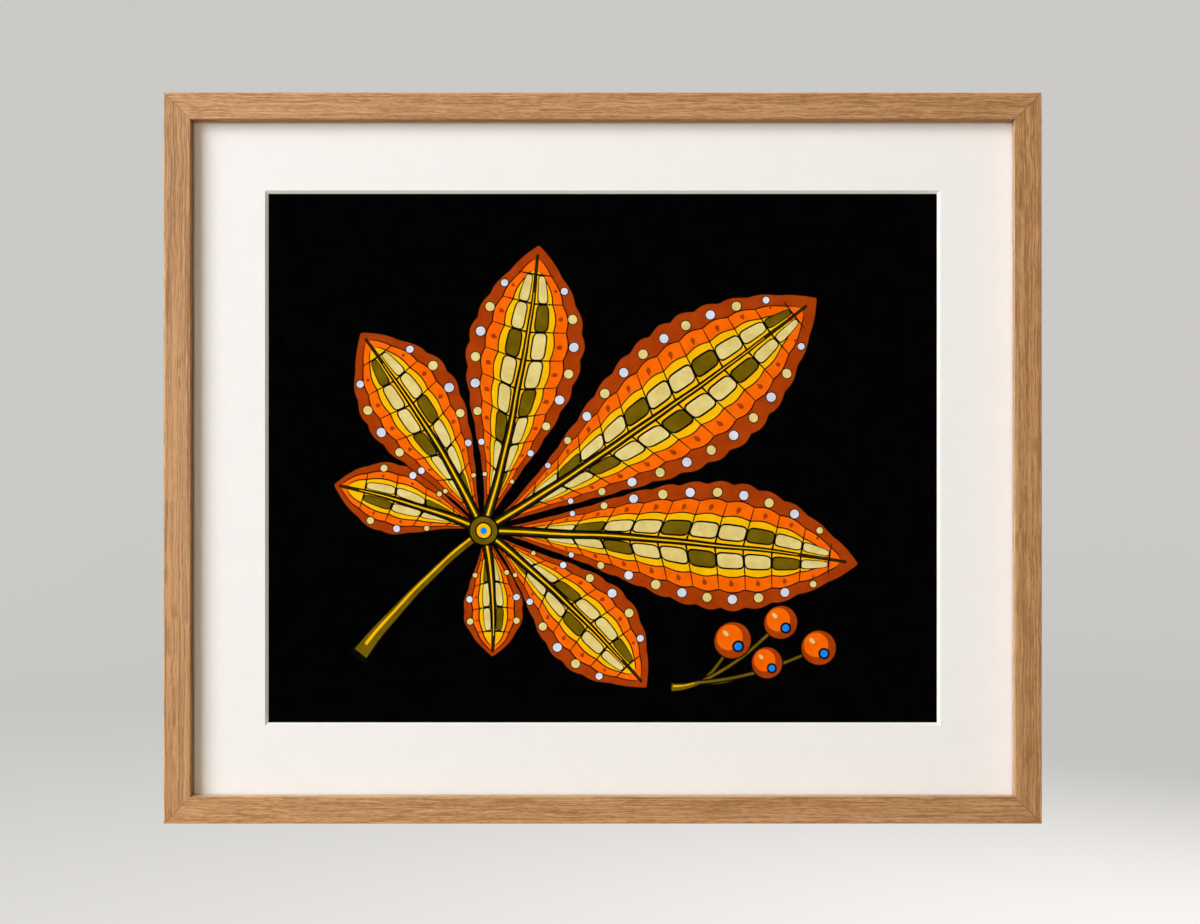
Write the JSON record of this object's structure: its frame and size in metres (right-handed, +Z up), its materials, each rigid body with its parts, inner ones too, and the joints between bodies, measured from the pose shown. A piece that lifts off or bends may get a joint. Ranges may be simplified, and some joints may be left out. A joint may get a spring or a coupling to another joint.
{
  "type": "framed picture",
  "caption": "Wooden wall frame, landscape format, with glass, bevelled window mat, dark print, boards, turn buttons and a sawtooth hanger behind.",
  "frame": {"origin": "the point of the wall where the nail carries the middle notch of the sawtooth hanger", "axes": "+X to the picture's right as seen from the front, +Y into the wall (the picture faces -Y), +Z up"},
  "size_m": [0.454, 0.027, 0.378],
  "materials": {
    "oak": "satin, fine straight grain",
    "clear_glass": "clear, low reflection",
    "mat_board": "matt, finely textured, off-white",
    "print_paper": "matt, flat opaque colours on black",
    "foam_core": "white paper faces over foam",
    "hardboard": "smooth pressed fibre",
    "zinc_steel": "bright zinc plate",
    "brass_plate": "satin brass plate",
    "black_rubber": "matt"
  },
  "bodies": {
    "frame": {"rail_top": "oak", "rail_right": "oak", "rail_bottom": "oak", "rail_left": "oak", "glass": "clear_glass", "window_mat": "mat_board", "print": "print_paper", "foam_board": "foam_core", "backing_board": "hardboard", "screw_top_left": "zinc_steel", "screw_top_right": "zinc_steel", "screw_bottom_left": "zinc_steel", "screw_bottom_right": "zinc_steel", "screw_left": "zinc_steel", "screw_right": "zinc_steel", "v_nail_top_right": "zinc_steel", "v_nail_bottom_right": "zinc_steel", "v_nail_bottom_left": "zinc_steel", "v_nail_top_left": "zinc_steel", "sawtooth_hanger": "brass_plate", "hanger_tack_left": "brass_plate", "hanger_tack_right": "brass_plate", "bumper_left": "black_rubber", "bumper_right": "black_rubber"},
    "button_top_left": {"turn_button_top_left": "zinc_steel"},
    "button_top_right": {"turn_button_top_right": "zinc_steel"},
    "button_bottom_left": {"turn_button_bottom_left": "zinc_steel"},
    "button_bottom_right": {"turn_button_bottom_right": "zinc_steel"},
    "button_left": {"turn_button_left": "zinc_steel"},
    "button_right": {"turn_button_right": "zinc_steel"}
  },
  "joints": [
    {"name": "turn_top_left", "type": "hinge", "parent": "frame", "child": "button_top_left", "pos_m": [-0.11, -0.0034, 0.002], "axis": [0, 1, 0], "continuous": true},
    {"name": "turn_top_right", "type": "hinge", "parent": "frame", "child": "button_top_right", "pos_m": [0.11, -0.0034, 0.002], "axis": [0, 1, 0], "continuous": true},
    {"name": "turn_bottom_left", "type": "hinge", "parent": "frame", "child": "button_bottom_left", "pos_m": [-0.11, -0.0034, -0.367], "axis": [0, 1, 0], "continuous": true},
    {"name": "turn_bottom_right", "type": "hinge", "parent": "frame", "child": "button_bottom_right", "pos_m": [0.11, -0.0034, -0.367], "axis": [0, 1, 0], "continuous": true},
    {"name": "turn_left", "type": "hinge", "parent": "frame", "child": "button_left", "pos_m": [-0.2225, -0.0034, -0.1825], "axis": [0, 1, 0], "continuous": true},
    {"name": "turn_right", "type": "hinge", "parent": "frame", "child": "button_right", "pos_m": [0.2225, -0.0034, -0.1825], "axis": [0, 1, 0], "continuous": true}
  ]
}
